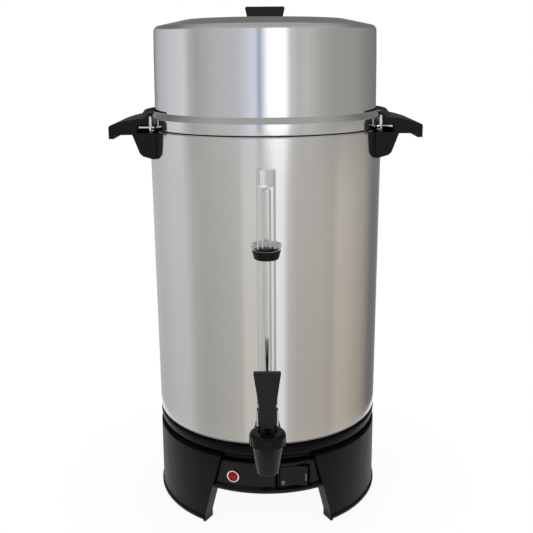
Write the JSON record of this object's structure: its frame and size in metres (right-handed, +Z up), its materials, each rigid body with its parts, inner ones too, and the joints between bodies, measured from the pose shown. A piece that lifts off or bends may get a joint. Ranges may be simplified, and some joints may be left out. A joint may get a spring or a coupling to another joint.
{
  "type": "coffee urn",
  "caption": "Tall electric coffee urn with a lift-off cover, side handles, sight gauge, lever faucet and a percolator basket on a pump tube.",
  "frame": {"origin": "on the vessel's axis, in the plane of the feet that the base stands on", "axes": "+Z up along the vessel's axis, -Y towards the front with the faucet, +X to the right seen from the front"},
  "size_m": [0.328, 0.3207, 0.5534],
  "materials": {
    "brushed_aluminium": "satin, brushed round the axis",
    "polished_aluminium": "polished",
    "spun_aluminium": "plain spun",
    "black_satin": "satin moulded phenolic",
    "black_gloss": "gloss moulded phenolic",
    "bright_steel": "bright plated",
    "plain_steel": "zinc plated",
    "clear_plastic": "clear",
    "clear_glass": "clear",
    "red_lens": "clear red",
    "grey_rubber": "matt",
    "white_silicone": "matt",
    "brass": "plain"
  },
  "bodies": {
    "urn": {"vessel_shell": "brushed_aluminium", "handle_left": "black_satin", "handle_right": "black_satin", "handle_bracket_left": "bright_steel", "handle_bracket_right": "bright_steel", "handle_screws": "plain_steel", "base_collar": "black_gloss", "base_housing": "black_satin", "control_panel": "black_gloss", "bottom_plate": "plain_steel", "base_screws": "plain_steel", "base_stud": "plain_steel", "base_nut": "plain_steel", "pilot_bezel": "bright_steel", "pilot_lens": "red_lens", "pilot_lamp": "clear_glass", "switch_housing": "black_gloss", "switch_terminals": "brass", "power_inlet": "black_gloss", "inlet_pins": "bright_steel", "brew_heater": "plain_steel", "warm_heater": "plain_steel", "heater_clamp": "plain_steel", "clamp_nut": "plain_steel", "thermostat": "plain_steel", "thermal_fuse": "plain_steel", "gauge_glass": "clear_glass", "gauge_shield": "clear_plastic", "gauge_cap": "clear_plastic", "gauge_bracket": "black_gloss", "gauge_bracket_screw": "plain_steel", "gauge_washer": "grey_rubber", "faucet_body": "black_gloss", "faucet_bonnet": "black_gloss", "valve_spring": "plain_steel", "faucet_nut": "plain_steel", "faucet_washers": "grey_rubber"},
    "cover": {"cover_shell": "polished_aluminium", "cover_knob": "black_satin", "knob_screw": "plain_steel"},
    "pump": {"pump_stem": "spun_aluminium", "pump_foot": "spun_aluminium"},
    "valve_disc": {"pump_valve": "spun_aluminium"},
    "basket": {"coffee_basket": "spun_aluminium"},
    "spreader": {"basket_spreader": "spun_aluminium"},
    "valve": {"valve_stem": "bright_steel", "seat_cup": "white_silicone", "lever_pin": "bright_steel"},
    "lever": {"faucet_lever": "black_satin"},
    "rocker": {"switch_rocker": "black_gloss"}
  },
  "joints": [
    {"name": "cover_lift", "type": "slide", "parent": "urn", "child": "cover", "axis": [0, 0, 1], "range_m": [0, 0.45]},
    {"name": "pump_lift", "type": "slide", "parent": "urn", "child": "pump", "axis": [0, 0, 1], "range_m": [0, 0.34]},
    {"name": "basket_lift", "type": "slide", "parent": "pump", "child": "basket", "axis": [0, 0, 1], "range_m": [0, 0.046]},
    {"name": "spreader_lift", "type": "slide", "parent": "basket", "child": "spreader", "axis": [0, 0, 1], "range_m": [0, 0.046]},
    {"name": "pump_valve_lift", "type": "slide", "parent": "pump", "child": "valve_disc", "axis": [0, 0, 1], "range_m": [0, 0.002]},
    {"name": "stem_lift", "type": "slide", "parent": "urn", "child": "valve", "axis": [0, 0, 1], "range_m": [0, 0.0025], "deforming": ["valve_spring"]},
    {"name": "lever_pull", "type": "hinge", "parent": "valve", "child": "lever", "pos_m": [0, -0.1727, 0.1484], "axis": [1, 0, 0], "range_deg": [0, 25], "stiffness_Nm_per_rad": 0.6, "springref_deg": -17.19},
    {"name": "rocker_tilt", "type": "hinge", "parent": "urn", "child": "rocker", "pos_m": [0.02719, -0.11071, 0.0634], "axis": [0, 0, 1], "range_deg": [0, 16]}
  ],
  "couplings": [
    {"joint": "pump_lift", "follows": "cover_lift", "ratio": 0.75},
    {"joint": "basket_lift", "follows": "cover_lift", "ratio": 0.1},
    {"joint": "spreader_lift", "follows": "cover_lift", "ratio": 0.1},
    {"joint": "stem_lift", "follows": "lever_pull", "m_per_rad": 0.0055}
  ]
}
